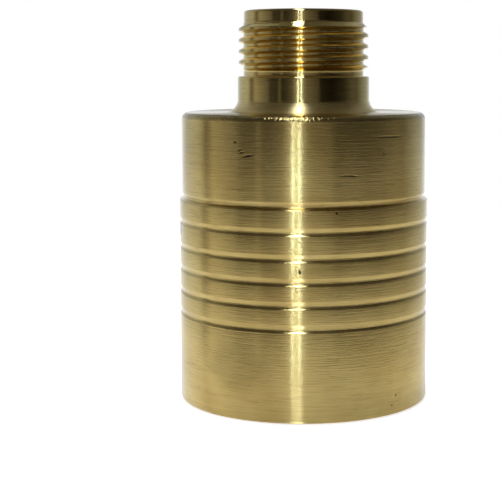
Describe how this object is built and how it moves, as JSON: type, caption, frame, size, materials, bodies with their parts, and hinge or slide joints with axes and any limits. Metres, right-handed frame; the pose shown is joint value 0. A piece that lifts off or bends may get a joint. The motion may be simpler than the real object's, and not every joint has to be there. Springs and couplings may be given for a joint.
{
  "type": "water pressure regulator",
  "caption": "In-line water pressure regulator: round brass barrel with grip rings, male hose thread on a neck, female hose thread below, spring-loaded piston inside.",
  "frame": {"origin": "centre of the barrel's bottom rim, on the flow axis", "axes": "+Z along the flow axis from the inlet to the outlet; +Y towards the vent hole"},
  "size_m": [0.0511, 0.051, 0.0795],
  "materials": {
    "turned_brass": "lathe-turned, uncoated, lightly handled",
    "cap_brass": "as machined",
    "sintered_bronze": "porous, matte",
    "black_rubber": "moulded, satin",
    "seat_rubber": "moulded, flat",
    "stainless": "fine brushed",
    "spring_steel": "drawn wire, bright",
    "acetal": "turned, matte",
    "white_ptfe": "turned, waxy"
  },
  "bodies": {
    "regulator_body": {"barrel_housing": "turned_brass", "inlet_cap": "cap_brass", "vent_filter": "sintered_bronze", "cap_seal": "black_rubber", "hose_washer": "black_rubber", "strainer_rim": "stainless", "strainer_mesh": "stainless", "seat_carrier": "cap_brass", "seat_disc": "seat_rubber", "seat_washer": "stainless", "seat_screw": "stainless", "stem_o_ring": "black_rubber", "stem_bush": "white_ptfe", "preload_shim": "stainless", "lower_spring_washer": "stainless", "spring": "spring_steel"},
    "piston_unit": {"piston": "acetal", "piston_nozzle": "stainless", "piston_o_ring": "black_rubber", "guide_ring": "white_ptfe", "upper_spring_washer": "stainless"}
  },
  "joints": [
    {"name": "piston_slide", "type": "slide", "parent": "regulator_body", "child": "piston_unit", "axis": [0, 0, -1], "range_m": [0, 0.003], "stiffness_N_per_m": 400, "springref_m": -0.002, "deforming": ["spring"]}
  ]
}
